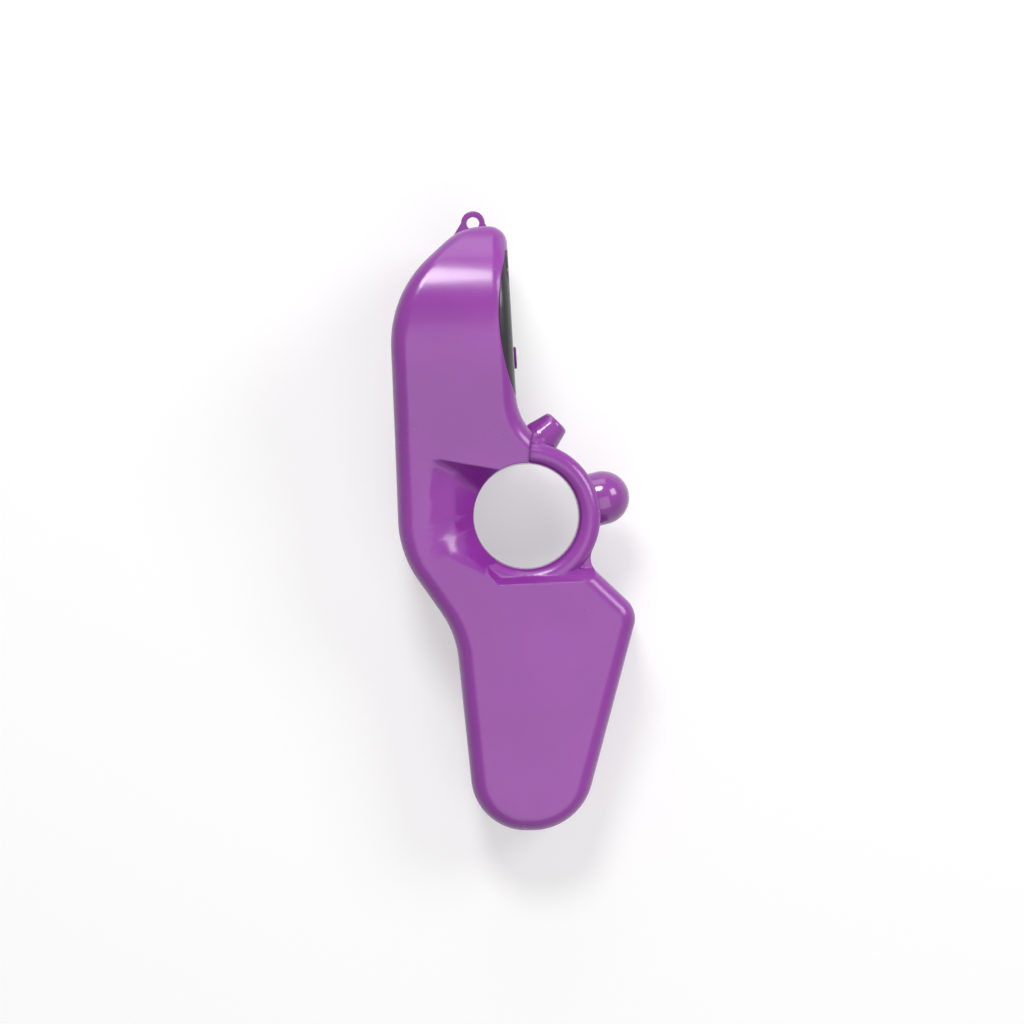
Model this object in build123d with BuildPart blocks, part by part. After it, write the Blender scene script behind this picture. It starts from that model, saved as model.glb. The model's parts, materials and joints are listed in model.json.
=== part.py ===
from build123d import *
import os
from math import asin, atan2, cos, degrees, hypot, radians, sin, tan

# Hand-held prayer counter with a finger hole. It is drawn about the centre of the finger hole:
# X runs from the back to the display, Y up the handle to the head, Z across the case.
# At the end every piece is turned and shifted together, so that the counter lies on its right side.

# Case, in millimetres
body_length = 131.8
body_depth = 54.1
head_width = 39.2
wall = 1.8
edge_round = 3.8
overrun = 1.0
fixed_gap = 0.1
running_gap = 0.15
touch_gap = 0.05
seam_width = 0.3
seam_depth = 0.35

# Side outline: across the depth and along the length, from the front of the head round the back
side_shares = (
    (-0.0231, 0.0768),
    (-0.0813, 0.4790),
    (-0.2602, 0.4790),
    (-0.5488, 0.3622),
    (-0.5122, -0.0618),
    (-0.2846, -0.1936),
    (-0.2012, -0.5208),
    (0.2154, -0.5208),
    (0.4512, -0.1561),
    (0.1789, -0.0508),
)
side_corner_shares = (0.389, 0.530, 0.521, 0.337, 0.259, 0.480, 0.461, 0.162)
ring_radius = 16.2
upper_crease = 13.0
lower_crease = 4.0

# Front outline: along the length and across the width, one half, from the crown down past the tip
front_shares = ((0.4932, 0.2296), (0.4097, 0.5), (0.2807, 0.5), (0.1024, 0.3342), (-0.56, 0.2515))
front_corner_shares = (0.334, 0.633, 0.36, 0.287, 0.1)

# Finger hole, and its ring band: lower than the faces, rounded across, from a crease above the hole
# to a slope below it, with the edges of that lowered sector as shares of the ring radius
bore_radius = 11.55
bore_wall = 1.2
band_drop = 2.4
band_bulge = 1.6
band_floor_shares = (
    (0.05, 0.62),
    (0.13, 1.9),
    (1.9, 1.9),
    (1.9, -0.66),
    (0.92, -0.69),
    (-0.30, -0.74),
    (-0.48, -0.62),
    (-0.3, -0.3),
)
band_mouth_shares = (
    (0.02, 0.62),
    (0.10, 1.9),
    (1.9, 1.9),
    (1.9, -0.90),
    (0.92, -0.95),
    (-0.42, -1.01),
    (-0.58, -0.78),
    (-0.3, -0.3),
)

# Scoop at the back of the finger hole: a steep floor that comes out of the hole, then an open slope up to
# the face, with the corners of each as shares of the hole's and the ring's radius
scoop_depth = 8.0
scoop_lip = 2.0
scoop_floor_shares = (
    (-0.346, 0.563),
    (-0.831, 0.416),
    (-0.918, -0.043),
    (-0.848, -0.364),
    (-0.606, -0.649),
    (-0.26, -0.563),
)
scoop_throat_shares = (
    (-0.278, 0.556),
    (-0.981, 0.593),
    (-0.981, -0.154),
    (-0.889, -0.463),
    (-0.525, -0.716),
    (-0.185, -0.525),
)
scoop_face_shares = (
    (-0.278, 0.599),
    (-1.235, 0.735),
    (-1.377, -0.321),
    (-1.080, -0.556),
    (-0.463, -0.864),
    (-0.185, -0.556),
)
scoop_corner_shares = (0.1, 0.16, 0.4, 0.4, 0.3, 0.1)

# Lanyard loop
loop_back_share = 0.2163
loop_rise = 1.25
loop_radius = 2.6
loop_hole_radius = 1.4
loop_thickness = 2.4
loop_foot = 5.0
loop_foot_drop = 4.0

# Case screws and their bosses
screw_shares = ((-0.3789, 0.3794), (-0.4122, 0.1290), (0.2218, -0.1859), (0.0185, -0.4401))
screw_radius = 1.0
screw_head_radius = 2.0
screw_head_height = 1.4
screw_reach = 6.0
screw_seat = 5.0
screw_slot_width = 0.6
screw_slot_length = 2.4
screw_slot_depth = 0.7
boss_wall = 1.0

# Black bezel: a slice of the front, bowed into the case, with a frame behind it
window_height = 38.9
window_width = 24.3
window_tall = 11.2
bezel_up = 9.0
bezel_down = 22.8
bezel_bulge = 2.6
plate_thickness = 2.0
frame_up = 8.55
frame_waist = 10.0
frame_down = 19.0
frame_width = 31.8
frame_foot_width = 23.0
tongue_reach = 1.9
tongue_thickness = 1.5
tongue_width = 12.0
web_thickness = 2.9

# Display stack, from the front inwards
lens_width = 26.0
lens_tall = 13.0
lens_thickness = 1.0
lens_sink = 0.15
ledge_thickness = 0.8
glass_width = 27.0
glass_tall = 14.5
glass_thickness = 2.0
light_width = 23.0
light_tall = 11.8
light_thickness = 3.0
zebra_tall = 2.0
led_size = (1.8, 2.6, 1.8)
led_height = 1.0

# Main board and what is soldered on it
board_thickness = 1.2
board_margin = 1.0
blob_radius = 5.0
blob_height = 1.6
chip_size = (2.0, 1.25, 0.7)
chip_columns = 3
chip_rows = 2
chip_pitch = 5.0
chip_drop = 13.5
can_radius = 1.0
can_length = 6.0
can_side = 10.5
board_screw_radius = 0.7
board_screw_reach = 3.5
board_screw_head_radius = 1.5
board_screw_head_height = 0.9
board_screw_spacing = 22.0

# Two small keys under the display
key_drop = 14.2
key_spacing = 13.1
key_radius = 2.15
key_rise = 0.6
key_flange_radius = 2.9
key_flange = 0.7
key_stem_radius = 1.2
key_round = 0.25

# Tactile switches, all of one kind
switch_length = 4.0
switch_width = 3.2
switch_height = 1.6
plunger_radius = 0.9
plunger_rise = 0.6
plunger_sink = 1.0
press_travel = 0.4

# Counting button on the ring band
count_angle = 13.5
count_radius = 5.9
count_wall = 1.2
count_dome_base = 17.3
count_skirt_end = 13.5
ear_reach = 1.0
ear_width = 2.4
ear_thickness = 0.5
flex_lift = 0.05
flex_thickness = 0.15
flex_width = 4.0
flex_start = 5.0
flex_bend = 4.0
pad_board_thickness = 0.4
pad_board_length = 6.4
pad_board_width = 3.8
pad_board_corner = 0.5

# Reset button above the ring
reset_seat_angle = 79.1
reset_stand = 1.314
reset_angle = 45.0
reset_height = 5.3
reset_radius = 4.2
reset_top_radius = 2.8
reset_top_dish = 0.3
reset_round = 1.0
reset_wall = 1.0
reset_skirt_depth = 2.1
reset_ear_depth = 3.0
reset_board_depth = 3.5

# Two button cells in a cup behind a door on the right side
cell_place_shares = (0.0555, -0.2883)
cell_radius = 5.8
cell_thickness = 5.4
cell_chamfer = 0.5
cell_count = 2
cup_wall = 1.0
cup_floor = 1.0
spring_room = 2.5
contact_thickness = 0.3
contact_room = 1.1
contact_radius = 4.5
contact_dimple_radius = 1.5
finger_width = 3.0
finger_bend = 1.0
seat_radius = 4.0
door_length = 25.0
door_width = 16.5
door_corner = 3.0
door_shift = -2.5
door_gap = 0.2
door_margin = 1.2
door_ledge = 0.9
door_screw_drop = 11.6
door_screw_radius = 0.8
door_screw_reach = 4.0
door_screw_head_radius = 1.6
door_screw_head_depth = 0.9

# Leads from the cup to the main board, in the plane of each lead
lead_radius = 0.5
lead_offset = 2.0
lead_route = ((-4.2, -38.0), (-8.5, -37.0), (-10.5, -24.0), (-17.0, -9.0), (-18.0, 8.0),
              (-15.8, 22.0), (-15.2, 31.2), (-10.9, 32.2))
lead_bend_share = 0.45

os.makedirs("parts", exist_ok=True)

screw_places = [(x * body_depth, y * body_length) for x, y in screw_shares]
cell_center = (cell_place_shares[0] * body_depth, cell_place_shares[1] * body_length)
loop_center = (-loop_back_share * body_depth, side_shares[1][1] * body_length + loop_rise)


# Radii that take a share of the shorter run beside each corner, so that they always fit
def bends(route, shares):
    radii = []
    for before, corner, after, share in zip(route, route[1:], route[2:], shares):
        came = Vector(corner) - Vector(before)
        goes = Vector(after) - Vector(corner)
        shorter = min(came.length, goes.length)
        radii.append(share * shorter / tan(radians(came.get_angle(goes) / 2)))
    return radii


def side_sketch(inset):
    points = [(x * body_depth, y * body_length) for x, y in side_shares]
    corners = bends(points, side_corner_shares)
    with BuildSketch() as sketch:
        with BuildLine():
            path = FilletPolyline(*points, radius=corners)
            Line(path @ 1, path @ 0)
        make_face()
        Circle(ring_radius)
        for place, crease in ((-1, upper_crease), (0, lower_crease)):
            on_ring = sketch.vertices().filter_by(lambda v: abs(Vector(v).length - ring_radius) < touch_gap)
            fillet(on_ring.sort_by(Axis.Y)[place], crease)
        if inset > 0:
            offset(amount=-inset, mode=Mode.REPLACE)
    return sketch.sketch


def front_sketch(inset):
    half = [(y * body_length, z * head_width) for y, z in front_shares]
    points = half + [(y, -z) for y, z in reversed(half)]
    corners = bends([points[-1], *points, points[0]], front_corner_shares + front_corner_shares[::-1])
    with BuildSketch() as sketch:
        with BuildLine():
            FilletPolyline(*points, radius=corners, close=True)
        make_face()
        if inset > 0:
            offset(amount=-inset, mode=Mode.REPLACE)
    return sketch.sketch


def flank_half_width(y):
    high_y, high_z = front_shares[-2]
    low_y, low_z = front_shares[-1]
    along = (y / body_length - low_y) / (high_y - low_y)
    return (low_z + along * (high_z - low_z)) * head_width


def scoop(grow, side):
    flank = flank_half_width(0)
    floor = [(x * bore_radius, y * bore_radius) for x, y in scoop_floor_shares]
    throat = [(x * ring_radius, y * ring_radius) for x, y in scoop_throat_shares]
    face = [(x * ring_radius, y * ring_radius) for x, y in scoop_face_shares]
    mouth = [(2 * face_x - x, 2 * face_y - y) for (x, y), (face_x, face_y) in zip(throat, face)]
    levels = (flank - scoop_depth - grow, flank - scoop_lip - grow, flank + scoop_lip)
    with BuildPart() as tool:
        for height, points in zip(levels, (floor, throat, mouth)):
            corners = bends([points[-1], *points, points[0]], scoop_corner_shares)
            with BuildSketch(Plane.XY.offset(side * height)):
                with BuildLine():
                    FilletPolyline(*points, radius=corners, close=True)
                make_face()
                if grow > 0:
                    offset(amount=grow)
        loft(ruled=True)
    return tool.part


def band_tool(side):
    flank = flank_half_width(0)
    crown = flank - band_drop
    floor = crown - band_bulge
    with BuildPart() as tool:
        for height, shares in ((floor, band_floor_shares), (flank + overrun, band_mouth_shares)):
            with BuildSketch(Plane.XY.offset(side * height)):
                with BuildLine():
                    Polyline(*[(x * ring_radius, y * ring_radius) for x, y in shares], close=True)
                make_face()
        loft(ruled=True)
        with BuildSketch(Plane.XZ):
            with BuildLine():
                ThreePointArc(
                    (bore_radius, side * floor),
                    ((bore_radius + ring_radius) / 2, side * crown),
                    (ring_radius, side * floor),
                )
                Line((ring_radius, side * floor), (bore_radius, side * floor))
            make_face()
        revolve(axis=Axis.Z, mode=Mode.SUBTRACT)
    return tool.part


def band_clearance(side):
    with BuildPart() as tool:
        with BuildSketch(Plane.XY.offset(side * (flank_half_width(0) - band_drop - band_bulge))):
            with BuildLine():
                Polyline(*[(x * ring_radius, y * ring_radius) for x, y in band_mouth_shares], close=True)
            make_face()
            offset(amount=wall)
        extrude(amount=side * head_width)
    return tool.part


# Planes that pieces are seated on: the display front, its section, the two button axes and the door
foot = Vector(side_shares[0][0] * body_depth, side_shares[0][1] * body_length)
brow = Vector(side_shares[1][0] * body_depth, side_shares[1][1] * body_length)
up_front = (brow - foot).normalized()
out_front = Vector(up_front.Y, -up_front.X)
window_center = foot + up_front * window_height
display = Plane(window_center, x_dir=(0, 0, -1), z_dir=out_front)
section = Plane(window_center, x_dir=out_front, z_dir=(0, 0, 1))

count_way = Vector(cos(radians(count_angle)), sin(radians(count_angle)))
count = Plane((0, 0, 0), x_dir=(0, 0, 1), z_dir=count_way)
reset_way = Vector(cos(radians(reset_angle)), sin(radians(reset_angle)))
reset_seat = Vector(cos(radians(reset_seat_angle)), sin(radians(reset_seat_angle)))
reset_seat *= ring_radius + reset_stand
reset = Plane(reset_seat, x_dir=(0, 0, 1), z_dir=reset_way)

flank_slope = (flank_half_width(body_length) - flank_half_width(0)) / body_length
door_face = Plane(
    (cell_center[0], cell_center[1], -flank_half_width(cell_center[1])),
    x_dir=(1, 0, 0),
    z_dir=(0, -flank_slope, -1),
)

# Depths of the display stack behind the front
ledge_depth = lens_sink + lens_thickness
glass_depth = ledge_depth + ledge_thickness
light_depth = glass_depth + glass_thickness
board_depth = light_depth + light_thickness
board_back = board_depth + board_thickness

# Depths of the cell stack behind the flank
cup_mouth = wall + door_ledge
cell_depth = wall + contact_room
cup_bottom = cell_depth + cell_count * cell_thickness + spring_room
cup_radius = cell_radius + running_gap
cup_back = cup_bottom + cup_floor
flank_width = 2 * flank_half_width(cell_center[1])


def shifted(plane, x, y):
    return Plane(plane.from_local_coords((x, y, 0)), x_dir=plane.x_dir, z_dir=plane.z_dir)


key_axes = [shifted(display, side * key_spacing / 2, -key_drop) for side in (-1, 1)]
board_screw_axes = [
    shifted(display, side * board_screw_spacing / 2, -(glass_tall + web_thickness) / 2) for side in (-1, 1)
]
door_screw_axis = shifted(door_face, 0, -door_screw_drop)


def bezel_slice(gap):
    middle = (bezel_up - bezel_down) / 2
    with BuildPart() as tool:
        with BuildSketch(section):
            with BuildLine():
                ThreePointArc((0, bezel_up + gap), (-bezel_bulge - gap, middle), (0, -bezel_down - gap))
                Polyline(
                    (0, -bezel_down - gap),
                    (overrun, -bezel_down - gap),
                    (overrun, bezel_up + gap),
                    (0, bezel_up + gap),
                )
            make_face()
        extrude(amount=head_width, both=True)
    return tool.part


def block(plane, width, low, high, front, back):
    with BuildPart() as tool:
        with BuildSketch(plane.offset(-back)):
            with Locations((0, (low + high) / 2)):
                Rectangle(width, high - low)
        extrude(amount=back - front)
    return tool.part


# Space within the walls as seen from the front, which the frame and the board are trimmed to
def front_space(gap):
    with BuildPart() as tool:
        with BuildSketch(Plane.YZ):
            add(front_sketch(wall + gap))
        extrude(amount=body_depth, both=True)
    return tool.part


def post(plane, radius, low, high):
    with BuildPart() as tool:
        with BuildSketch(plane.offset(low)):
            Circle(radius)
        extrude(amount=high - low)
    return tool.part


# Outside of the case as one solid, with the loop on its crown
with BuildPart() as case:
    with BuildSketch():
        add(side_sketch(0))
    extrude(amount=head_width, both=True)
    with BuildSketch(Plane.YZ):
        add(front_sketch(0))
    extrude(amount=body_depth, both=True, mode=Mode.INTERSECT)
    rims = case.edges().filter_by(lambda e: abs(e.center().Z) > seam_width)
    rims = rims.filter_by(lambda e: abs(e.tangent_at(0.5).Z) < 0.7)
    fillet(rims, edge_round)
    with BuildSketch():
        Circle(bore_radius)
    extrude(amount=head_width, both=True, mode=Mode.SUBTRACT)
    for side in (1, -1):
        add(band_tool(side), mode=Mode.SUBTRACT)
        add(scoop(0, side), mode=Mode.SUBTRACT)

with BuildPart() as loop:
    with BuildSketch():
        x, y = loop_center
        with BuildLine():
            Polyline(
                (x - loop_radius, y),
                (x - loop_foot, y - loop_foot_drop),
                (x + loop_foot, y - loop_foot_drop),
                (x + loop_radius, y),
                close=True,
            )
        make_face()
        with Locations(loop_center):
            Circle(loop_radius)
            Circle(loop_hole_radius, mode=Mode.SUBTRACT)
    extrude(amount=loop_thickness / 2, both=True)

# Room inside the case, kept clear of the finger hole, its ring band and its scoop
with BuildPart() as room:
    with BuildSketch():
        add(side_sketch(wall))
    extrude(amount=head_width, both=True)
    with BuildSketch(Plane.YZ):
        add(front_sketch(wall))
    extrude(amount=body_depth, both=True, mode=Mode.INTERSECT)
    with BuildSketch():
        Circle(bore_radius + bore_wall)
    extrude(amount=head_width, both=True, mode=Mode.SUBTRACT)
    for side in (1, -1):
        add(band_clearance(side), mode=Mode.SUBTRACT)
        add(scoop(wall, side), mode=Mode.SUBTRACT)

# Cuts that both halves share: the frame and the board behind it, the bezel and the two buttons
pocket_width = frame_width + 2 * running_gap
pocket_foot_width = frame_foot_width + 2 * running_gap
board_foot = -frame_down - board_margin
with BuildPart() as shared_cuts:
    add(block(display, pocket_width, -frame_waist - running_gap, frame_up + running_gap, -overrun,
              board_back + running_gap))
    add(block(display, pocket_foot_width, -frame_down - running_gap, -frame_waist, -overrun, board_depth))
    add(block(display, pocket_foot_width, board_foot - running_gap, -frame_waist, board_depth - running_gap,
              board_back + running_gap))
    add(front_space(0), mode=Mode.INTERSECT)
    add(bezel_slice(fixed_gap))
    add(post(count, count_radius + running_gap, bore_radius + bore_wall, ring_radius + count_radius))
    add(post(reset, reset_radius + running_gap, -reset_board_depth, reset_height))

with BuildPart() as seam:
    with BuildSketch():
        add(side_sketch(0))
        add(side_sketch(seam_depth), mode=Mode.SUBTRACT)
    extrude(amount=seam_width / 2, both=True)

# Left half: the plain side, with blind bosses for the case screws and a seat for the cup
with BuildPart() as left_room:
    add(room.part)
    with BuildSketch():
        with Locations(*screw_places):
            Circle(screw_head_radius + boss_wall)
    extrude(amount=head_width, mode=Mode.SUBTRACT)
    add(post(door_face, seat_radius, -flank_width, -cup_back - touch_gap), mode=Mode.SUBTRACT)

with BuildPart() as left_shell:
    add(case.part)
    add(loop.part)
    add(left_room.part, mode=Mode.SUBTRACT)
    add(seam.part, mode=Mode.SUBTRACT)
    add(shared_cuts.part, mode=Mode.SUBTRACT)
    split(bisect_by=Plane.XY, keep=Keep.TOP)
    with BuildSketch():
        with Locations(*screw_places):
            Circle(screw_radius + touch_gap)
    extrude(amount=screw_reach + fixed_gap, mode=Mode.SUBTRACT)

# Right half: screw wells, and the door opening with a ledge that the door and the cup seat on
with BuildPart() as right_room:
    add(room.part)
    with BuildSketch():
        with Locations(*screw_places):
            Circle(screw_head_radius + running_gap + boss_wall)
    extrude(amount=-head_width, mode=Mode.SUBTRACT)
    with BuildSketch(door_face.offset(-cup_mouth)):
        with Locations((0, door_shift)):
            RectangleRounded(door_width + 2 * door_margin, door_length + 2 * door_margin, door_corner)
    extrude(amount=wall, mode=Mode.SUBTRACT)
    add(post(door_screw_axis, door_screw_radius + boss_wall, -cup_mouth - door_screw_reach, 0),
        mode=Mode.SUBTRACT)

with BuildPart() as right_shell:
    add(case.part)
    add(loop.part)
    add(right_room.part, mode=Mode.SUBTRACT)
    add(seam.part, mode=Mode.SUBTRACT)
    add(shared_cuts.part, mode=Mode.SUBTRACT)
    split(bisect_by=Plane.XY, keep=Keep.BOTTOM)
    with BuildSketch():
        with Locations(*screw_places):
            Circle(screw_radius + running_gap)
    extrude(amount=-screw_seat - overrun, mode=Mode.SUBTRACT)
    with BuildSketch(Plane.XY.offset(-screw_seat)):
        with Locations(*screw_places):
            Circle(screw_head_radius + running_gap)
    extrude(amount=-head_width, mode=Mode.SUBTRACT)
    with BuildSketch(door_face.offset(-wall)):
        with Locations((0, door_shift)):
            RectangleRounded(door_width, door_length, door_corner)
    extrude(amount=wall + overrun, mode=Mode.SUBTRACT)
    add(post(door_face, cup_radius, -cup_mouth - overrun, 0), mode=Mode.SUBTRACT)
    add(post(door_screw_axis, door_screw_radius + touch_gap, -wall - door_screw_reach, 0),
        mode=Mode.SUBTRACT)

with BuildPart() as case_screws:
    with Locations(*[(x, y, -screw_seat) for x, y in screw_places]):
        Cylinder(screw_radius, screw_seat + screw_reach, align=(Align.CENTER, Align.CENTER, Align.MIN))
        Cylinder(screw_head_radius, screw_head_height, align=(Align.CENTER, Align.CENTER, Align.MAX))
    with BuildSketch(Plane.XY.offset(-screw_seat - screw_head_height)):
        with Locations(*screw_places):
            Rectangle(screw_slot_length, screw_slot_width)
            Rectangle(screw_slot_width, screw_slot_length)
    extrude(amount=screw_slot_depth, mode=Mode.SUBTRACT)

# Bezel: the bowed slice of the case front, a stepped frame behind it and tongues under the case wall
with BuildPart() as frame:
    add(block(display, frame_width, -frame_waist, frame_up, fixed_gap, board_depth))
    add(block(display, frame_foot_width, -frame_down, -frame_waist, fixed_gap, board_depth))
    add(front_space(running_gap), mode=Mode.INTERSECT)

with BuildPart() as bezel:
    add(case.part)
    add(bezel_slice(0), mode=Mode.INTERSECT)
    add(frame.part)
    add(block(display, tongue_width, -frame_down - tongue_reach, frame_up + tongue_reach,
              wall + fixed_gap, wall + fixed_gap + tongue_thickness))
    add(block(display, lens_width + 2 * fixed_gap, -lens_tall / 2 - fixed_gap, lens_tall / 2 + fixed_gap,
              -overrun, ledge_depth), mode=Mode.SUBTRACT)
    add(block(display, window_width, -window_tall / 2, window_tall / 2, 0, board_depth), mode=Mode.SUBTRACT)
    add(block(display, glass_width + 2 * fixed_gap, -glass_tall / 2 - fixed_gap, glass_tall / 2 + fixed_gap,
              glass_depth - touch_gap, board_depth + overrun), mode=Mode.SUBTRACT)
    add(block(display, frame_foot_width - 2 * wall, wall - frame_down, -glass_tall / 2 - web_thickness,
              plate_thickness, board_depth + overrun), mode=Mode.SUBTRACT)
    for key in key_axes:
        add(post(key, key_radius + running_gap, -plate_thickness - overrun, overrun), mode=Mode.SUBTRACT)
    for axis in board_screw_axes:
        add(post(axis, board_screw_radius + touch_gap, -board_depth - overrun,
                 -board_depth + board_screw_reach + fixed_gap), mode=Mode.SUBTRACT)

with BuildPart() as display_lens:
    add(block(display, lens_width, -lens_tall / 2, lens_tall / 2, lens_sink, ledge_depth - touch_gap))
    chamfer(display_lens.faces().sort_by(Axis(window_center, out_front))[-1].edges(), lens_sink)

with BuildPart() as lcd_glass:
    add(block(display, glass_width, -glass_tall / 2, glass_tall / 2, glass_depth, light_depth - touch_gap))

light_back = board_depth - touch_gap
with BuildPart() as backlight_panel:
    add(block(display, light_width, glass_tall / 2 - light_tall, glass_tall / 2, light_depth, light_back))

with BuildPart() as zebra_strip:
    add(block(display, light_width, -glass_tall / 2, zebra_tall - glass_tall / 2, light_depth, light_back))

with BuildPart() as backlight_led:
    led_length, led_tall, led_thickness = led_size
    with BuildSketch(display.offset(-board_depth + touch_gap)):
        with Locations((light_width / 2 + led_length / 2 + fixed_gap, led_height)):
            Rectangle(led_length, led_tall)
    extrude(amount=led_thickness)

# Main board, stepped like the frame that it is screwed to
with BuildPart() as main_board:
    add(block(display, frame_width, -frame_waist, frame_up, board_depth, board_back))
    add(block(display, frame_foot_width, board_foot, -frame_waist, board_depth, board_back))
    add(front_space(running_gap), mode=Mode.INTERSECT)
    for axis in board_screw_axes:
        add(post(axis, board_screw_radius + fixed_gap, -board_back - overrun, 0), mode=Mode.SUBTRACT)

with BuildPart() as chip_blob:
    ball_radius = (blob_radius**2 + blob_height**2) / (2 * blob_height)
    with Locations(display * Location((0, 0, -board_back - touch_gap - blob_height + ball_radius))):
        Sphere(ball_radius)
    split(bisect_by=display.offset(-board_back - touch_gap), keep=Keep.BOTTOM)

with BuildPart() as board_parts:
    chip_length, chip_width, chip_height = chip_size
    with BuildSketch(display.offset(-board_back - touch_gap)):
        with Locations((0, -chip_drop)):
            with GridLocations(chip_pitch, chip_pitch, chip_columns, chip_rows):
                Rectangle(chip_length, chip_width)
    extrude(amount=-chip_height)

with BuildPart() as crystal_can:
    with Locations(display * Location((can_side, 0, -board_back - touch_gap - can_radius), (90, 0, 0))):
        Cylinder(can_radius, can_length)

with BuildPart() as board_screws:
    for axis in board_screw_axes:
        add(post(axis, board_screw_radius, -board_back, board_screw_reach - board_depth))
        add(post(axis, board_screw_head_radius, -board_back - board_screw_head_height, -board_back))


def tact_switch(axis, height):
    top = height + switch_height
    with BuildPart() as body:
        with BuildSketch(axis.offset(height)):
            Rectangle(switch_length, switch_width)
        extrude(amount=switch_height)
        add(post(axis, plunger_radius + fixed_gap, top - plunger_sink - press_travel, top),
            mode=Mode.SUBTRACT)
    return body


def plunger(axis, height):
    top = height + switch_height
    with BuildPart() as pin:
        add(post(axis, plunger_radius, top - plunger_sink, top + plunger_rise))
    return pin


def key_cap(axis, height):
    stop = -plate_thickness - touch_gap
    with BuildPart() as cap:
        add(post(axis, key_radius, stop, key_rise))
        fillet(cap.edges().sort_by(Axis(axis.origin, axis.z_dir))[-1], key_round)
        add(post(axis, key_flange_radius, stop - key_flange, stop))
        add(post(axis, key_stem_radius, height + switch_height + plunger_rise, stop))
    return cap


left_key_switch, right_key_switch = [tact_switch(axis, -board_depth + touch_gap) for axis in key_axes]
left_key_plunger, right_key_plunger = [plunger(axis, -board_depth + touch_gap) for axis in key_axes]
left_key, right_key = [key_cap(axis, -board_depth + touch_gap) for axis in key_axes]


def pad_board(axis, height):
    with BuildPart() as pad:
        with BuildSketch(axis.offset(height)):
            RectangleRounded(pad_board_length, pad_board_width, pad_board_corner)
        extrude(amount=-pad_board_thickness)
    return pad


def axial(plane):
    return Plane(plane.origin, x_dir=plane.x_dir, z_dir=plane.x_dir.cross(plane.z_dir))


def ears(plane, radius, hollow_radius, low, skirt_end):
    with BuildPart() as pair:
        with BuildSketch(plane.offset(low)):
            Rectangle(2 * (radius + ear_reach), ear_width)
            Circle(hollow_radius, mode=Mode.SUBTRACT)
        extrude(amount=ear_thickness)
        with BuildSketch(plane.offset(low)):
            Circle(radius)
            Circle(hollow_radius, mode=Mode.SUBTRACT)
            Rectangle(2 * radius, ear_width, mode=Mode.INTERSECT)
        extrude(amount=skirt_end - low + ear_thickness)
    return pair.part


# Counting button: a hollow dome with a skirt, two ears under the ring band and a stem on its plunger
count_pad_height = bore_radius + bore_wall + 2 * flex_lift + flex_thickness + pad_board_thickness
count_switch_height = count_pad_height + touch_gap
count_stem_end = count_switch_height + switch_height + plunger_rise
count_hollow = count_radius - count_wall
count_board = pad_board(count, count_pad_height)
count_switch = tact_switch(count, count_switch_height)
count_plunger = plunger(count, count_switch_height)
with BuildPart() as count_button:
    with BuildSketch(axial(count)):
        with BuildLine():
            CenterArc((0, count_dome_base), count_radius, 0, 90)
            Line((0, count_dome_base + count_radius), (0, count_dome_base + count_hollow))
            CenterArc((0, count_dome_base), count_hollow, 0, 90)
            Polyline(
                (count_hollow, count_dome_base),
                (count_hollow, count_skirt_end),
                (count_radius, count_skirt_end),
                (count_radius, count_dome_base),
            )
        make_face()
    revolve(axis=Axis(count.origin, count.z_dir))
    add(ears(count, count_radius, count_hollow, count_skirt_end, count_skirt_end))
    add(post(count, key_stem_radius, count_stem_end, count_dome_base + count_radius - count_wall / 2))

# Reset button: a tapering cap with a dished top, made and held like the counting button
reset_switch_height = touch_gap - reset_board_depth
reset_stem_end = reset_switch_height + switch_height + plunger_rise
reset_ball = (reset_top_radius**2 + reset_top_dish**2) / (2 * reset_top_dish)
reset_half_dish = reset_top_dish - reset_ball + (reset_ball**2 - reset_top_radius**2 / 4) ** 0.5
reset_ceiling = reset_height - reset_top_dish - reset_wall
reset_board = pad_board(reset, -reset_board_depth)
reset_switch = tact_switch(reset, reset_switch_height)
reset_plunger = plunger(reset, reset_switch_height)
with BuildPart() as reset_button:
    with BuildSketch(axial(reset)):
        with BuildLine():
            ThreePointArc(
                (0, reset_height - reset_top_dish),
                (reset_top_radius / 2, reset_height - reset_half_dish),
                (reset_top_radius, reset_height),
            )
            Polyline(
                (reset_top_radius, reset_height),
                (reset_radius, 0),
                (reset_radius, -reset_skirt_depth),
                (reset_radius - reset_wall, -reset_skirt_depth),
                (reset_radius - reset_wall, 0),
                (reset_top_radius - reset_wall, reset_ceiling),
                (0, reset_ceiling),
                (0, reset_height - reset_top_dish),
            )
        make_face()
    revolve(axis=Axis(reset.origin, reset.z_dir))
    fillet(reset_button.edges().sort_by(Axis(reset.origin, reset.z_dir))[-1], reset_round)
    add(ears(reset, reset_radius, reset_radius - reset_wall, -reset_ear_depth, -reset_skirt_depth))
    add(post(reset, key_stem_radius, reset_stem_end, reset_ceiling + reset_wall / 2))

# Flexible strip round the finger hole, from under the counting button to the foot of the main board
flex_radius = bore_radius + bore_wall + flex_lift + flex_thickness / 2
flex_end_height = board_foot - board_margin + touch_gap
flex_end = display.from_local_coords((0, flex_end_height, -board_depth - board_thickness / 2))
with BuildPart() as switch_flex:
    with BuildSketch(Plane.XY.offset(-flex_width / 2)):
        with BuildLine() as strip:
            CenterArc((0, 0), flex_radius, flex_start, 90 - flex_start)
            FilletPolyline(
                (0, flex_radius),
                (flex_end.X, flex_radius),
                (flex_end.X, flex_end.Y),
                radius=flex_bend,
            )
        trace(strip.line, flex_thickness)
    extrude(amount=flex_width)

# Cup for the two cells, standing between the ledge of the right half and the seat of the left one
with BuildPart() as battery_cup:
    add(post(door_face, cup_radius + cup_wall, -cup_back, -cup_mouth - touch_gap))
    add(post(door_face, cup_radius, -cup_bottom, 0), mode=Mode.SUBTRACT)

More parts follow.
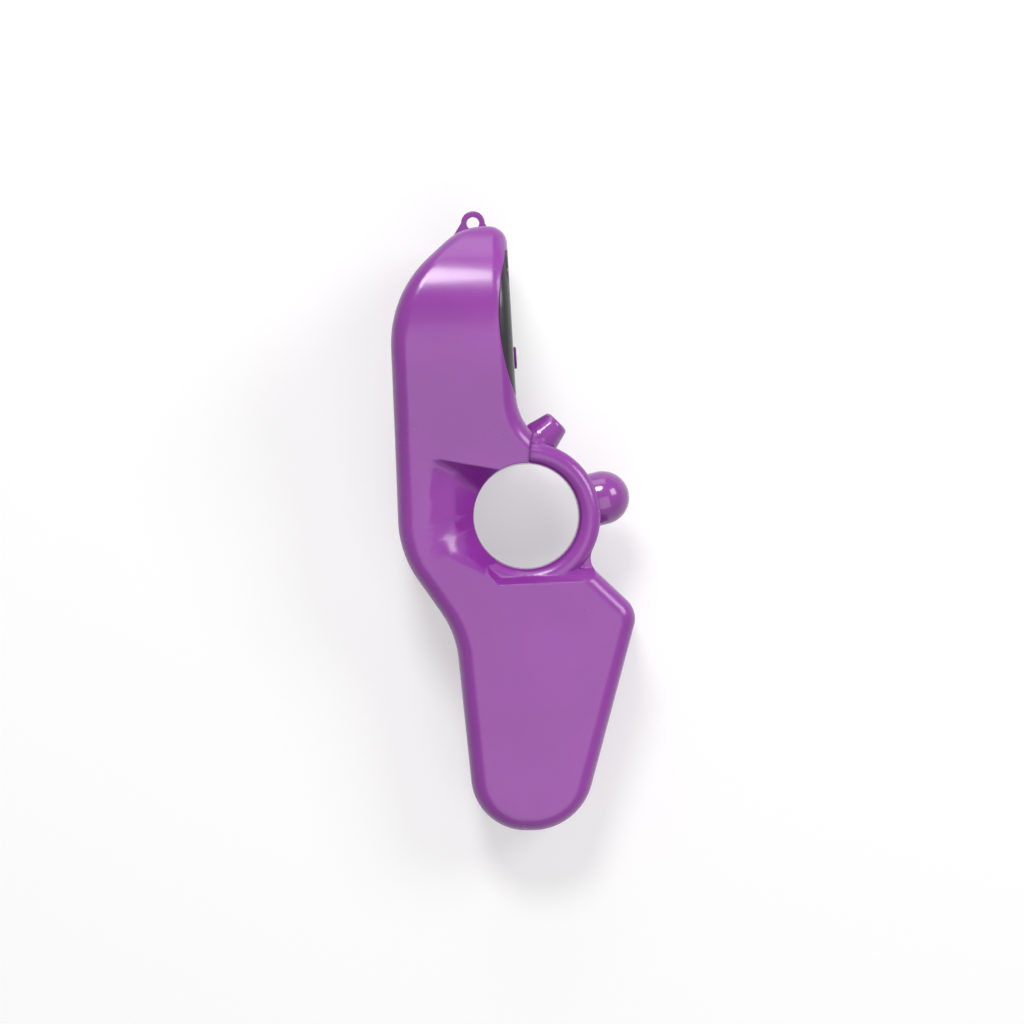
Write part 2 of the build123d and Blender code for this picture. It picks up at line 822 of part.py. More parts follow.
with BuildPart() as button_cells:
    for place in range(cell_count):
        top = -cell_depth - place * cell_thickness
        add(post(door_face, cell_radius, top - cell_thickness + touch_gap, top))
    chamfer(button_cells.edges().filter_by(GeomType.CIRCLE), cell_chamfer)

with BuildPart() as cell_contact:
    add(post(door_face, contact_radius, -wall - contact_thickness, -wall))
    add(post(door_face, contact_dimple_radius, touch_gap - cell_depth, -wall))

with BuildPart() as cell_spring:
    add(post(door_face, contact_radius, -cup_bottom + touch_gap, contact_thickness - cup_bottom))
    with BuildSketch(axial(door_face).offset(-finger_width / 2)):
        with BuildLine() as finger:
            FilletPolyline(
                (-contact_radius + contact_thickness, contact_thickness - cup_bottom),
                (0, spring_room - contact_thickness - cup_bottom),
                (contact_radius / 2, spring_room / 2 - cup_bottom),
                radius=finger_bend,
            )
        trace(finger.line, contact_thickness)
    extrude(amount=finger_width)

with BuildPart() as battery_door:
    with BuildSketch(door_face.offset(touch_gap - wall)):
        with Locations((0, door_shift)):
            RectangleRounded(door_width - 2 * door_gap, door_length - 2 * door_gap, door_corner - door_gap)
    extrude(amount=wall - touch_gap)
    add(post(door_screw_axis, door_screw_radius + running_gap, -wall - overrun, overrun),
        mode=Mode.SUBTRACT)
    head_seat = -door_screw_head_depth - touch_gap
    add(post(door_screw_axis, door_screw_head_radius + running_gap, head_seat, overrun),
        mode=Mode.SUBTRACT)

with BuildPart() as door_screw:
    add(post(door_screw_axis, door_screw_radius, fixed_gap - wall - door_screw_reach, -fixed_gap))
    add(post(door_screw_axis, door_screw_head_radius, -door_screw_head_depth, -fixed_gap))


# Leads: round wires in planes beside the middle of the case, with bends as wide as their runs allow
def lead(offset_z):
    radii = bends(lead_route, [lead_bend_share] * len(lead_route))
    with BuildPart() as wire:
        with BuildLine(Plane.XY.offset(offset_z)) as route:
            FilletPolyline(*lead_route, radius=radii)
        with BuildSketch(Plane(route.line @ 0, z_dir=route.line % 0)):
            Circle(lead_radius)
        sweep()
    print("lead length", route.wire().length, "volume", wire.part.volume, "bends", radii)
    return wire


lead_red = lead(lead_offset)
lead_black = lead(-lead_offset)

# The case rests on the round under the head and the rim of the tip, which sets how far it leans
rounds = front_sketch(0).edges().filter_by(GeomType.CIRCLE).filter_by(lambda e: e.center().Y < 0)
head_round = rounds.sort_by(Axis.X, reverse=True)[2]
tip_end = side_shares[6][1] * body_length + edge_round
tip_rim = Vector(tip_end, edge_round * hypot(1, flank_slope) - flank_half_width(tip_end))
apart = head_round.arc_center - tip_rim
bite = asin((head_round.radius - edge_round) / hypot(apart.X, apart.Y))
lean = Location((0, 0, 0), (degrees(bite - atan2(apart.Y, apart.X)), 0, 0))

pieces = {
    "left_shell": left_shell,
    "right_shell": right_shell,
    "case_screws": case_screws,
    "bezel": bezel,
    "display_lens": display_lens,
    "lcd_glass": lcd_glass,
    "backlight_panel": backlight_panel,
    "backlight_led": backlight_led,
    "zebra_strip": zebra_strip,
    "main_board": main_board,
    "chip_blob": chip_blob,
    "board_parts": board_parts,
    "crystal_can": crystal_can,
    "board_screws": board_screws,
    "left_key": left_key,
    "left_key_plunger": left_key_plunger,
    "left_key_switch": left_key_switch,
    "right_key": right_key,
    "right_key_plunger": right_key_plunger,
    "right_key_switch": right_key_switch,
    "count_button": count_button,
    "count_plunger": count_plunger,
    "count_switch": count_switch,
    "count_board": count_board,
    "reset_button": reset_button,
    "reset_plunger": reset_plunger,
    "reset_switch": reset_switch,
    "reset_board": reset_board,
    "switch_flex": switch_flex,
    "battery_cup": battery_cup,
    "button_cells": button_cells,
    "cell_contact": cell_contact,
    "cell_spring": cell_spring,
    "battery_door": battery_door,
    "door_screw": door_screw,
    "lead_red": lead_red,
    "lead_black": lead_black,
}

# Every piece goes to the resting place: the origin is under the middle of the whole counter
whole = Compound(children=[piece.part.moved(lean) for piece in pieces.values()]).bounding_box()
rest = Location((-whole.center().X, -whole.center().Y, -whole.min.Z)) * lean
for name, piece in pieces.items():
    piece.part.move(rest)
    piece.part.label = name
    export_step(piece.part, f"parts/{name}.step")
print("leans", lean.orientation.X, "moved by", rest.position)
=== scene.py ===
import json
import math
import bmesh
import bpy
from mathutils import Matrix, Vector


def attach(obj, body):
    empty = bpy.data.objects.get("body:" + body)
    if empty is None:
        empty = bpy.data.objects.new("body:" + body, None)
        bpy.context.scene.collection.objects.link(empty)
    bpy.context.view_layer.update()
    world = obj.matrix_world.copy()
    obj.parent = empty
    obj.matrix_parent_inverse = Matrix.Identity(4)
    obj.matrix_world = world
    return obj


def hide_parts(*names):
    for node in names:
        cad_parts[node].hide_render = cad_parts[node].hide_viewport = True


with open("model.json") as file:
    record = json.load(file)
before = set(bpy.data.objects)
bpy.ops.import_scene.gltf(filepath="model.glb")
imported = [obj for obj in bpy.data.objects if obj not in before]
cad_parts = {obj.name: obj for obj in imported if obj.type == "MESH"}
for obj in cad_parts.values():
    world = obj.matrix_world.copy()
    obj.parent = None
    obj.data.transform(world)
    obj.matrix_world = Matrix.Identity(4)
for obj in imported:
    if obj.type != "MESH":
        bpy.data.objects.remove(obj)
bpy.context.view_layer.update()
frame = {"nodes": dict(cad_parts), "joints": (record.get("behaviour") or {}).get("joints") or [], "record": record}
nodes = frame["nodes"]
mm = 0.001  # lengths in the settings below are in millimetres, except where a comment says metres
print("frame loaded,", len(nodes), "nodes")

# The counter's own axes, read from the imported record: the finger hole and the press of a key
mounts = {mount["name"]: mount for mount in frame["record"]["mounts"]}
joints = {joint["name"]: joint for joint in frame["joints"]}
boreCentre = Vector(mounts["finger_hole"]["pos_m"])
across = Vector(mounts["finger_hole"]["axis"]).normalized()  # far side to near side
ahead = Vector((1, 0, 0))  # back to display
upward = across.cross(ahead)  # tip of the handle to the head
outFront = -Vector(joints["left_key_press"]["axis"]).normalized()  # square to the display
upFront = across.cross(outFront)


def axesMatrix(right, up, back, place):
    turned = Matrix((right, up, back)).transposed().to_4x4()
    turned.translation = place
    return turned


# A colour written as sRGB in hexadecimal, made linear for the shaders by sRGB's own curve
def hexLinear(code):
    parts = [int(code[i:i + 2], 16) / 255 for i in (1, 3, 5)]
    return [p / 12.92 if p <= 0.04045 else ((p + 0.055) / 1.055) ** 2.4 for p in parts] + [1]


def perMetre(size):
    return 1 / (size * mm)  # a noise scale from the size of its grains in millimetres


def addNode(tree, kind, settings=None, values=None, links=None):
    node = tree.nodes.new(kind)
    for name, value in (settings or {}).items():
        setattr(node, name, value)
    for name, value in (values or {}).items():
        node.inputs[name].default_value = value
    for name, source in (links or {}).items():
        tree.links.new(source, node.inputs[name])
    return node


def newMaterial(name):
    material = bpy.data.materials.new(name)
    material.use_nodes = True
    tree = material.node_tree
    tree.nodes.clear()
    place = addNode(tree, "ShaderNodeTexCoord").outputs["Object"]
    shader = addNode(tree, "ShaderNodeBsdfPrincipled")
    addNode(tree, "ShaderNodeOutputMaterial", links={"Surface": shader.outputs["BSDF"]})
    return material, tree, place, shader


# 1 for rays that the eye follows: straight, mirrored or through glass
def shownRays(tree):
    rays = addNode(tree, "ShaderNodeLightPath").outputs
    mirrored = addNode(tree, "ShaderNodeMath", settings={"operation": "MAXIMUM"},
                       links={0: rays["Is Camera Ray"], 1: rays["Is Glossy Ray"]})
    shown = addNode(tree, "ShaderNodeMath", settings={"operation": "MAXIMUM"},
                    links={0: mirrored.outputs["Value"], 1: rays["Is Transmission Ray"]})
    return shown.outputs["Value"]


# An object at the origin from a finished shape
def pieceFrom(shape, name, material):
    mesh = bpy.data.meshes.new(name)
    shape.to_mesh(mesh)
    shape.free()
    mesh.materials.append(material)
    piece = bpy.data.objects.new(name, mesh)
    bpy.context.scene.collection.objects.link(piece)
    return piece


# What all moulded plastics share: how fine each noise is, how soft the colour drift, how smooth the edges
mould = {"driftDetail": 3, "driftLow": 0.3, "driftHigh": 0.7,
         "smudgeDetail": 5, "peelDetail": 2, "edgeSamples": 6}


# A moulded plastic: slow colour drift from the melt, a faint orange peel and gloss that varies with handling
def mouldedPlastic(name, look):
    material, tree, place, shader = newMaterial(name)
    drift = addNode(tree, "ShaderNodeTexNoise", links={"Vector": place},
                    values={"Scale": perMetre(look["drift"]), "Detail": mould["driftDetail"]})
    ramp = addNode(tree, "ShaderNodeValToRGB", links={"Fac": drift.outputs["Fac"]})
    ramp.color_ramp.elements[0].position = mould["driftLow"]
    ramp.color_ramp.elements[0].color = hexLinear(look["deep"])
    ramp.color_ramp.elements[1].position = mould["driftHigh"]
    ramp.color_ramp.elements[1].color = hexLinear(look["pale"])
    tree.links.new(ramp.outputs["Color"], shader.inputs["Base Color"])
    smudge = addNode(tree, "ShaderNodeTexNoise", links={"Vector": place},
                     values={"Scale": perMetre(look["smudge"]), "Detail": mould["smudgeDetail"]})
    gloss = addNode(tree, "ShaderNodeMapRange", links={"Value": smudge.outputs["Fac"]},
                    values={"To Min": look["smooth"], "To Max": look["dull"]})
    tree.links.new(gloss.outputs["Result"], shader.inputs["Roughness"])
    peel = addNode(tree, "ShaderNodeTexNoise", links={"Vector": place},
                   values={"Scale": perMetre(look["peel"]), "Detail": mould["peelDetail"]})
    bump = addNode(tree, "ShaderNodeBump", links={"Height": peel.outputs["Fac"]},
                   values={"Strength": look["peelStrength"], "Distance": look["peelHeight"] * mm})
    if "edge" in look:  # moulded corners are never quite sharp, so they catch the light
        soft = addNode(tree, "ShaderNodeBevel", settings={"samples": mould["edgeSamples"]},
                       values={"Radius": look["edge"] * mm})
        tree.links.new(soft.outputs["Normal"], bump.inputs["Normal"])
    tree.links.new(bump.outputs["Normal"], shader.inputs["Normal"])
    shader.inputs["IOR"].default_value = look["ior"]
    shader.inputs["Coat Weight"].default_value = look["coat"]
    shader.inputs["Coat Roughness"].default_value = look["coatRoughness"]
    return material


# ABS pressed in a polished mould: saturated colour under a wet gloss
purpleAbs = mouldedPlastic("purpleAbs", {
    "deep": "#8d309c", "pale": "#9738a6", "drift": 24, "smudge": 11, "smooth": 0.22, "dull": 0.3,
    "peel": 1.8, "peelStrength": 0.03, "peelHeight": 0.02, "edge": 0.6,
    "ior": 1.54, "coat": 0.25, "coatRoughness": 0.12})
buttonAbs = mouldedPlastic("buttonAbs", {
    "deep": "#8a3097", "pale": "#9437a1", "drift": 9, "smudge": 4, "smooth": 0.14, "dull": 0.2,
    "peel": 1.4, "peelStrength": 0.03, "peelHeight": 0.02, "edge": 0.3,
    "ior": 1.54, "coat": 0.4, "coatRoughness": 0.06})
bezelAbs = mouldedPlastic("bezelAbs", {
    "deep": "#1b1a1e", "pale": "#242329", "drift": 14, "smudge": 6, "smooth": 0.2, "dull": 0.3,
    "peel": 0.5, "peelStrength": 0.08, "peelHeight": 0.02, "edge": 0.25,
    "ior": 1.54, "coat": 0.15, "coatRoughness": 0.15})
# Silicone keys: soft matt skin with a fine spark-eroded grain
keySilicone = mouldedPlastic("keySilicone", {
    "deep": "#7a2a86", "pale": "#833190", "drift": 5, "smudge": 2, "smooth": 0.45, "dull": 0.55,
    "peel": 0.18, "peelStrength": 0.2, "peelHeight": 0.02, "ior": 1.43, "coat": 0.0, "coatRoughness": 0.2})
# Potting resin and black switch bodies: matt, finely rough
blackResin = mouldedPlastic("blackResin", {
    "deep": "#111114", "pale": "#1b1b1f", "drift": 5, "smudge": 2, "smooth": 0.45, "dull": 0.6,
    "peel": 0.2, "peelStrength": 0.3, "peelHeight": 0.02, "ior": 1.5, "coat": 0.0, "coatRoughness": 0.3})
# Insulated wire: extruded vinyl with a dull skin
redVinyl = mouldedPlastic("redVinyl", {
    "deep": "#a51d1a", "pale": "#b52723", "drift": 4, "smudge": 2, "smooth": 0.35, "dull": 0.45,
    "peel": 0.2, "peelStrength": 0.1, "peelHeight": 0.01, "ior": 1.53, "coat": 0.0, "coatRoughness": 0.3})
blackVinyl = mouldedPlastic("blackVinyl", {
    "deep": "#151516", "pale": "#202022", "drift": 4, "smudge": 2, "smooth": 0.35, "dull": 0.45,
    "peel": 0.2, "peelStrength": 0.1, "peelHeight": 0.01, "ior": 1.53, "coat": 0.0, "coatRoughness": 0.3})
# Frosted acrylic that spreads the light of the diode
frostedAcrylic = mouldedPlastic("frostedAcrylic", {
    "deep": "#dfe9d6", "pale": "#eaf2e2", "drift": 6, "smudge": 3, "smooth": 0.5, "dull": 0.65,
    "peel": 0.25, "peelStrength": 0.25, "peelHeight": 0.02, "ior": 1.49, "coat": 0.0, "coatRoughness": 0.3})
# Polyimide film: amber, thin and slick
polyimide = mouldedPlastic("polyimide", {
    "deep": "#9c5a16", "pale": "#b56c1e", "drift": 3, "smudge": 2, "smooth": 0.2, "dull": 0.3,
    "peel": 0.4, "peelStrength": 0.1, "peelHeight": 0.01, "ior": 1.7, "coat": 0.0, "coatRoughness": 0.2})


# Clear acrylic lens, polished: nothing of its own colour, only gloss and a slight tint
def clearAcrylic(name, look):
    material, tree, place, shader = newMaterial(name)
    haze = addNode(tree, "ShaderNodeTexNoise", links={"Vector": place},
                   values={"Scale": perMetre(look["haze"]), "Detail": look["hazeDetail"]})
    gloss = addNode(tree, "ShaderNodeMapRange", links={"Value": haze.outputs["Fac"]},
                    values={"To Min": look["smooth"], "To Max": look["dull"]})
    tree.links.new(gloss.outputs["Result"], shader.inputs["Roughness"])
    shader.inputs["Base Color"].default_value = hexLinear(look["tint"])
    shader.inputs["Transmission Weight"].default_value = 1
    shader.inputs["IOR"].default_value = look["ior"]
    return material


lensAcrylic = clearAcrylic("lensAcrylic", {
    "tint": "#f4faf4", "haze": 3, "hazeDetail": 4, "smooth": 0.01, "dull": 0.05, "ior": 1.49})


# Display glass: pale green liquid crystal, lit from behind and brighter towards the diode's end
def litGlass(name, look):
    material, tree, place, shader = newMaterial(name)
    centred = addNode(tree, "ShaderNodeMapping", settings={"vector_type": "TEXTURE"},
                      values={"Location": look["centre"]}, links={"Vector": place})
    parts = addNode(tree, "ShaderNodeSeparateXYZ", links={"Vector": centred.outputs["Vector"]})
    spread = addNode(tree, "ShaderNodeMapRange", links={"Value": parts.outputs["Z"]},
                     values={"From Min": -look["halfWidth"] * mm, "From Max": look["halfWidth"] * mm})
    cloud = addNode(tree, "ShaderNodeTexNoise", links={"Vector": place},
                    values={"Scale": perMetre(look["cloud"]), "Detail": look["cloudDetail"]})
    uneven = addNode(tree, "ShaderNodeMath", settings={"operation": "MULTIPLY_ADD"},
                     values={1: look["cloudShare"]},
                     links={0: cloud.outputs["Fac"], 2: spread.outputs["Result"]})
    ramp = addNode(tree, "ShaderNodeValToRGB", links={"Fac": uneven.outputs["Value"]})
    ramp.color_ramp.elements[0].color = hexLinear(look["bright"])
    ramp.color_ramp.elements[1].color = hexLinear(look["dim"])
    tree.links.new(ramp.outputs["Color"], shader.inputs["Base Color"])
    tree.links.new(ramp.outputs["Color"], shader.inputs["Emission Color"])
    shader.inputs["Emission Strength"].default_value = look["glow"]
    shader.inputs["Roughness"].default_value = look["roughness"]
    shader.inputs["IOR"].default_value = look["ior"]
    return material


# Nickel plate: bright, with fine drawn lines from tumbling and pressing
def platedSteel(name, look):
    material, tree, place, shader = newMaterial(name)
    drawn = addNode(tree, "ShaderNodeMapping", values={"Scale": (1, 1, look["stretch"])},
                    links={"Vector": place})
    lines = addNode(tree, "ShaderNodeTexNoise", links={"Vector": drawn.outputs["Vector"]},
                    values={"Scale": perMetre(look["line"]), "Detail": look["lineDetail"]})
    ramp = addNode(tree, "ShaderNodeValToRGB", links={"Fac": lines.outputs["Fac"]})
    ramp.color_ramp.elements[0].color = hexLinear(look["deep"])
    ramp.color_ramp.elements[1].color = hexLinear(look["pale"])
    tree.links.new(ramp.outputs["Color"], shader.inputs["Base Color"])
    gloss = addNode(tree, "ShaderNodeMapRange", links={"Value": lines.outputs["Fac"]},
                    values={"To Min": look["smooth"], "To Max": look["dull"]})
    tree.links.new(gloss.outputs["Result"], shader.inputs["Roughness"])
    shader.inputs["Metallic"].default_value = 1
    return material


nickelSteel = platedSteel("nickelSteel", {
    "deep": "#a9a8a4", "pale": "#d6d5d1", "line": 0.25, "lineDetail": 4, "stretch": 0.12,
    "smooth": 0.18, "dull": 0.36})


# Green lacquered laminate: lacquer over copper tracks, drawn wider than real ones so that they show
def lacqueredBoard(name, look):
    material, tree, place, shader = newMaterial(name)
    cells = addNode(tree, "ShaderNodeTexBrick", settings={"offset": look["stagger"]},
                    values={"Scale": perMetre(look["track"]), "Mortar Size": look["trackShare"],
                            "Color1": hexLinear(look["lacquer"]), "Color2": hexLinear(look["lacquer2"]),
                            "Mortar": hexLinear(look["copper"])},
                    links={"Vector": place})
    tree.links.new(cells.outputs["Color"], shader.inputs["Base Color"])
    rise = addNode(tree, "ShaderNodeBump", links={"Height": cells.outputs["Fac"]},
                   values={"Strength": look["riseStrength"], "Distance": look["rise"] * mm})
    tree.links.new(rise.outputs["Normal"], shader.inputs["Normal"])
    shader.inputs["Roughness"].default_value = look["roughness"]
    return material


boardLaminate = lacqueredBoard("boardLaminate", {
    "track": 2.4, "trackShare": 0.06, "stagger": 0.5, "rise": 0.03, "riseStrength": 0.3, "roughness": 0.32,
    "lacquer": "#1d5a33", "lacquer2": "#216338", "copper": "#3f8a4c"})


# Layered elastomer: conducting and insulating layers in turn, drawn a little wider than real ones
def layeredElastomer(name, look):
    material, tree, place, shader = newMaterial(name)
    layers = addNode(tree, "ShaderNodeTexWave", settings={"bands_direction": "Z"}, links={"Vector": place},
                     values={"Scale": perMetre(look["layer"]) / look["bandsPerUnit"],
                             "Distortion": look["wobble"]})
    ramp = addNode(tree, "ShaderNodeValToRGB", links={"Fac": layers.outputs["Fac"]})
    ramp.color_ramp.elements[0].color = hexLinear(look["dark"])
    ramp.color_ramp.elements[1].color = hexLinear(look["light"])
    tree.links.new(ramp.outputs["Color"], shader.inputs["Base Color"])
    shader.inputs["Roughness"].default_value = look["roughness"]
    return material


zebraElastomer = layeredElastomer("zebraElastomer", {
    "layer": 0.6, "bandsPerUnit": 20, "wobble": 0.2, "dark": "#2b2b2e", "light": "#b9b9bd", "roughness": 0.6})
print("materials made")

# Moulded pieces: merging distance in millimetres, the angle in degrees of an edge that stays crisp
# and the modifier's pull towards the large faces
skinLook = {"merge": 0.0005, "crease": 32, "pull": 60}


# A merged, smooth-shaded copy of a moulded solid: the rounds read as one skin and real edges stay crisp
def skinOf(nodeName, pieceName, body, material):
    shape = bmesh.new()
    shape.from_mesh(nodes[nodeName].data)
    bmesh.ops.remove_doubles(shape, verts=shape.verts, dist=skinLook["merge"] * mm)
    for face in shape.faces:
        face.smooth = True
    for edge in shape.edges:
        edge.smooth = edge.calc_face_angle(0) < math.radians(skinLook["crease"])
    piece = pieceFrom(shape, pieceName, material)
    weights = piece.modifiers.new("evenNormals", "WEIGHTED_NORMAL")
    weights.keep_sharp = True
    weights.weight = skinLook["pull"]
    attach(piece, body)
    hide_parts(nodeName)


skins = {
    "left_shell": ("nearHalf", "case", "purple_case", purpleAbs),
    "right_shell": ("farHalf", "case", "purple_case", purpleAbs),
    "battery_door": ("cellDoor", "case", "purple_case", purpleAbs),
    "bezel": ("displayBezel", "case", "black_bezel", bezelAbs),
    "display_lens": ("displayLens", "case", "clear_lens", lensAcrylic),
    "count_button": ("countDome", "count_button", "purple_button", buttonAbs),
    "reset_button": ("resetCap", "reset_button", "purple_button", buttonAbs),
    "left_key": ("leftKeyCap", "left_key", "purple_key", keySilicone),
    "right_key": ("rightKeyCap", "right_key", "purple_key", keySilicone),
    "case_screws": ("caseScrews", "case", "plated_steel", nickelSteel),
    "door_screw": ("doorScrew", "case", "plated_steel", nickelSteel),
}
for nodeName, (pieceName, body, slot, material) in skins.items():
    skinOf(nodeName, pieceName, body, material)
print("moulded pieces skinned:", len(skins))

# A thin web in each half that closes the pinhole at the foot of the ring band,
# placed from the centre of the finger hole
webs = {"radius": 0.9, "thick": 0.3, "ahead": 12.2, "down": 11.0, "face": 8.57, "sides": 24}
for pieceName, side in (("nearWeb", 1), ("farWeb", -1)):
    webShape = bmesh.new()
    bmesh.ops.create_cone(webShape, cap_ends=True, segments=webs["sides"], depth=webs["thick"] * mm,
                          radius1=webs["radius"] * mm, radius2=webs["radius"] * mm)
    webPlace = boreCentre + (ahead * webs["ahead"] - upward * webs["down"]
                             + across * side * (webs["face"] - webs["thick"] / 2)) * mm
    bmesh.ops.transform(webShape, matrix=axesMatrix(ahead, upward, across, webPlace), verts=webShape.verts)
    web = pieceFrom(webShape, pieceName, purpleAbs)
    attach(web, "case")
print("webs set")

# Where the display glass lies, square to the display
glassPoints = [Vector((v.co.dot(outFront), v.co.dot(upFront), v.co.dot(across)))
               for v in nodes["lcd_glass"].data.vertices]
glassLow = Vector([min(p[i] for p in glassPoints) for i in range(3)])
glassHigh = Vector([max(p[i] for p in glassPoints) for i in range(3)])
glassMiddle = (glassLow + glassHigh) / 2
glassFace = outFront * glassHigh[0] + upFront * glassMiddle[1] + across * glassMiddle[2]
glassAxes = axesMatrix(-across, upFront, outFront, glassFace)  # right, up and out as a reader sees it

displayGlass = litGlass("displayGlass", {
    "centre": glassFace, "halfWidth": 12, "cloud": 5, "cloudDetail": 2, "cloudShare": 0.12,
    "bright": "#b6efb0", "dim": "#5cc472", "glow": 0.35, "roughness": 0.18, "ior": 1.52})
# Liquid crystal that turns dark: matt, almost without relief
crystalInk = mouldedPlastic("crystalInk", {
    "deep": "#1c2b22", "pale": "#23352a", "drift": 3, "smudge": 2, "smooth": 0.3, "dull": 0.4,
    "peel": 0.3, "peelStrength": 0.05, "peelHeight": 0.005, "ior": 1.5, "coat": 0.0, "coatRoughness": 0.2})

# Five plain figures of seven bars each, thin films on the front of the glass; the slant is in degrees
figures = {"count": "00033", "height": 6.2, "width": 3.3, "step": 4.4, "slant": 6,
           "bar": 0.62, "gap": 0.12, "film": 0.04, "pointShare": 0.48}
barsOf = {"0": "abcdef", "3": "abcdg"}
halfTall = figures["height"] / 2
halfWide = figures["width"] / 2
barPlaces = {"a": ((0, halfTall), False), "g": ((0, 0), False), "d": ((0, -halfTall), False),
             "f": ((-halfWide, halfTall / 2), True), "b": ((halfWide, halfTall / 2), True),
             "e": ((-halfWide, -halfTall / 2), True), "c": ((halfWide, -halfTall / 2), True)}


# One bar with pointed ends, laid flat about its centre
def addBar(shape, centre, upright):
    film = figures["film"]
    length = (halfTall if upright else figures["width"]) - figures["gap"] * 2
    made = bmesh.ops.create_cube(shape, size=1)["verts"]
    bmesh.ops.scale(shape, vec=(length, figures["bar"], film), verts=made)
    edges = {edge for v in made for edge in v.link_edges}
    corners = [e for e in edges if abs((e.verts[0].co - e.verts[1].co).z) > film / 2]
    pointed = bmesh.ops.bevel(shape, geom=corners, offset=figures["bar"] * figures["pointShare"],
                              affect="EDGES", segments=1, profile=0.5, material=-1)["verts"]
    moved = list(set(pointed) | {v for v in made if v.is_valid})
    if upright:
        quarterTurn = Matrix.Rotation(math.radians(90), 3, "Z")
        bmesh.ops.rotate(shape, verts=moved, cent=(0, 0, 0), matrix=quarterTurn)
    bmesh.ops.translate(shape, vec=(centre[0], centre[1], film / 2), verts=moved)


digitShape = bmesh.new()
for place, figure in enumerate(figures["count"]):
    shift = (place - (len(figures["count"]) - 1) / 2) * figures["step"]
    for bar in barsOf[figure]:
        (barX, barY), upright = barPlaces[bar]
        addBar(digitShape, (shift + barX, barY), upright)
lean = Matrix.Identity(4)
lean[0][1] = math.tan(math.radians(figures["slant"]))
bmesh.ops.transform(digitShape, matrix=glassAxes @ Matrix.Scale(mm, 4) @ lean, verts=digitShape.verts)
bmesh.ops.recalc_face_normals(digitShape, faces=digitShape.faces)
displayFigures = pieceFrom(digitShape, "displayFigures", crystalInk)
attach(displayFigures, "case")
print("display figures drawn")

# Solids whose shape is right keep it and take a finish
finishes = {
    "lcd_glass": displayGlass, "backlight_panel": frostedAcrylic, "backlight_led": frostedAcrylic,
    "zebra_strip": zebraElastomer, "main_board": boardLaminate, "count_board": boardLaminate,
    "reset_board": boardLaminate, "switch_flex": polyimide, "chip_blob": blackResin,
    "board_parts": blackResin, "battery_cup": blackResin, "left_key_switch": blackResin,
    "right_key_switch": blackResin, "count_switch": blackResin, "reset_switch": blackResin,
    "left_key_plunger": blackResin, "right_key_plunger": blackResin, "count_plunger": blackResin,
    "reset_plunger": blackResin, "crystal_can": nickelSteel, "button_cells": nickelSteel,
    "cell_contact": nickelSteel, "cell_spring": nickelSteel, "board_screws": nickelSteel,
    "lead_red": redVinyl, "lead_black": blackVinyl}
for nodeName, material in finishes.items():
    nodes[nodeName].data.materials.clear()
    nodes[nodeName].data.materials.append(material)
print("solids finished:", len(finishes))

# Pale floor of matt paper, white to the camera, that keeps the shadow; its size is in metres
floorLook = {"size": 8, "colour": "#c2c1c1", "roughness": 0.9, "lift": 0.48,
             "grain": 1.5, "grainDetail": 3, "grainStrength": 0.02, "grainHeight": 0.1}
floorPaper, floorTree, floorPlace, floorShader = newMaterial("floorPaper")
fibre = addNode(floorTree, "ShaderNodeTexNoise", links={"Vector": floorPlace},
                values={"Scale": perMetre(floorLook["grain"]), "Detail": floorLook["grainDetail"]})
fibreBump = addNode(floorTree, "ShaderNodeBump", links={"Height": fibre.outputs["Fac"]},
                    values={"Strength": floorLook["grainStrength"],
                            "Distance": floorLook["grainHeight"] * mm})
floorTree.links.new(fibreBump.outputs["Normal"], floorShader.inputs["Normal"])
floorShader.inputs["Base Color"].default_value = hexLinear(floorLook["colour"])
floorShader.inputs["Roughness"].default_value = floorLook["roughness"]
lift = addNode(floorTree, "ShaderNodeMath", settings={"operation": "MULTIPLY"},
               values={1: floorLook["lift"]}, links={0: shownRays(floorTree)})
floorTree.links.new(lift.outputs["Value"], floorShader.inputs["Emission Strength"])
floorShader.inputs["Emission Color"].default_value = (1, 1, 1, 1)
floorShape = bmesh.new()
bmesh.ops.create_grid(floorShape, x_segments=1, y_segments=1, size=floorLook["size"] / 2)
paleFloor = pieceFrom(floorShape, "paleFloor", floorPaper)

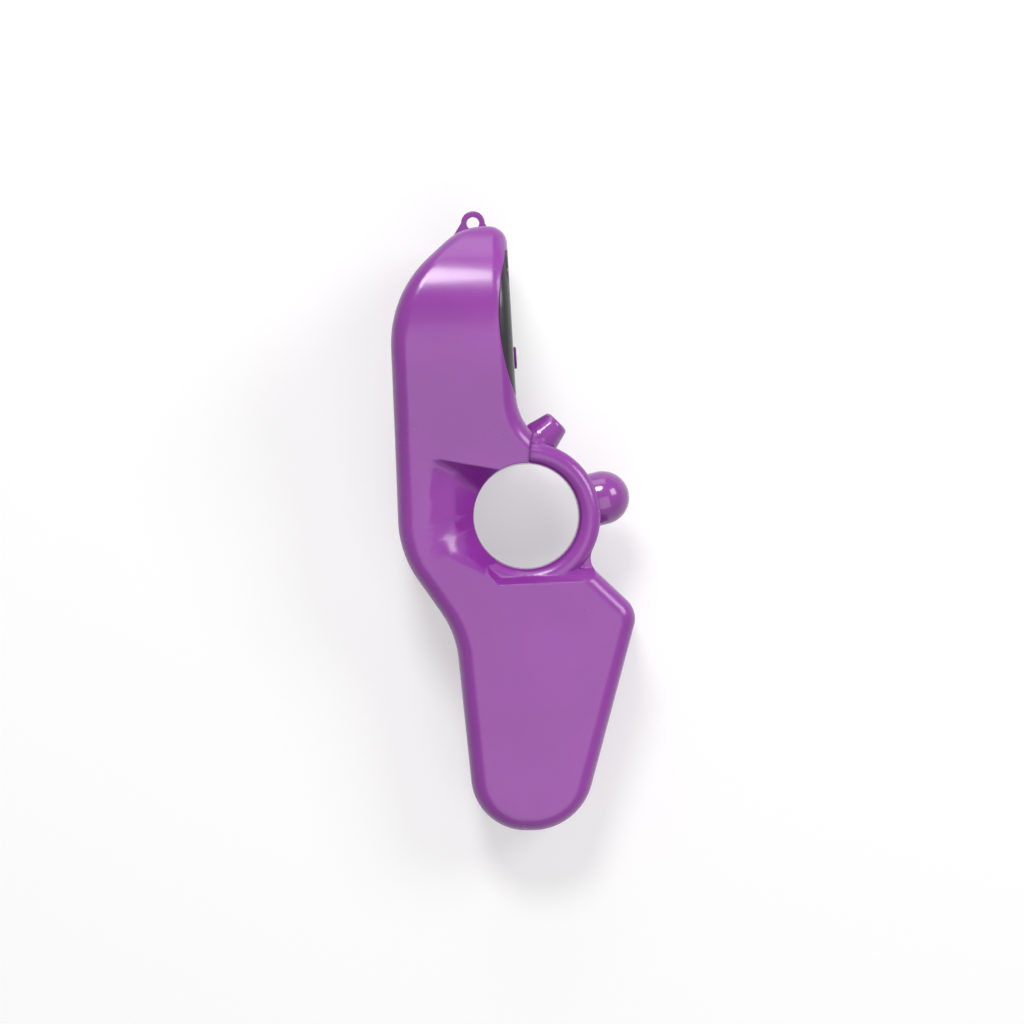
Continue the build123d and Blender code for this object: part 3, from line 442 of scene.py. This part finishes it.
# World: a low even fill, white to the eye and in reflections
worldLook = {"fill": 0.14, "seen": 0.8, "colour": "#f6f5f7"}
world = bpy.data.worlds.new("studio")
world.use_nodes = True
bpy.context.scene.world = world
worldTree = world.node_tree
worldTree.nodes.clear()
worldLevel = addNode(worldTree, "ShaderNodeMapRange", links={"Value": shownRays(worldTree)},
                     values={"To Min": worldLook["fill"], "To Max": worldLook["seen"]})
sky = addNode(worldTree, "ShaderNodeBackground", values={"Color": hexLinear(worldLook["colour"])},
              links={"Strength": worldLevel.outputs["Result"]})
addNode(worldTree, "ShaderNodeOutputWorld", links={"Surface": sky.outputs["Background"]})

# Lamps: a round umbrella beyond the head, a broad soft box on the handle's side,
# a window on the buttons' side and a low strip behind the crown, in metres and watts
lamps = {
    "umbrella": {"shape": "DISK", "size": 0.3, "power": 4.2,
                 "at": (-0.13, 0.56, 0.76), "aim": (0, 0.03, 0.02)},
    "softBox": {"shape": "SQUARE", "size": 1.1, "power": 4.9,
                "at": (0.14, -0.55, 1.06), "aim": (0, 0, 0.02)},
    "window": {"shape": "SQUARE", "size": 0.4, "power": 3.4,
               "at": (0.7, 0.36, 0.66), "aim": (0.02, 0, 0.02)},
    "crownStrip": {"shape": "SQUARE", "size": 0.4, "power": 1,
                   "at": (-0.05, 0.8, 0.3), "aim": (0, 0.05, 0.03)},
}
for lampName, lamp in lamps.items():
    light = bpy.data.lights.new(lampName, "AREA")
    light.shape = lamp["shape"]
    light.size = lamp["size"]
    light.energy = lamp["power"]
    holder = bpy.data.objects.new(lampName, light)
    holder.location = lamp["at"]
    holder.rotation_mode = "QUATERNION"
    holder.rotation_quaternion = (Vector(lamp["aim"]) - Vector(lamp["at"])).to_track_quat("-Z", "Y")
    bpy.context.scene.collection.objects.link(holder)
print("floor and lamps set")

# Camera square to the near side, as the picture was taken; its distance is in metres
shot = {"field": 225.3, "distance": 0.9, "sensor": 36, "shift": (-3.1, 0.9)}
aim = boreCentre + (ahead * shot["shift"][0] + upward * shot["shift"][1]) * mm
cameraData = bpy.data.cameras.new("sideView")
cameraData.sensor_width = shot["sensor"]
cameraData.lens = shot["sensor"] * shot["distance"] / (shot["field"] * mm)
cameraData.dof.use_dof = False
camera = bpy.data.objects.new("sideView", cameraData)
camera.matrix_world = axesMatrix(ahead, upward, across, aim + across * shot["distance"])
bpy.context.scene.collection.objects.link(camera)
bpy.context.scene.camera = camera
bpy.context.scene.view_settings.view_transform = "Standard"
print("camera placed")
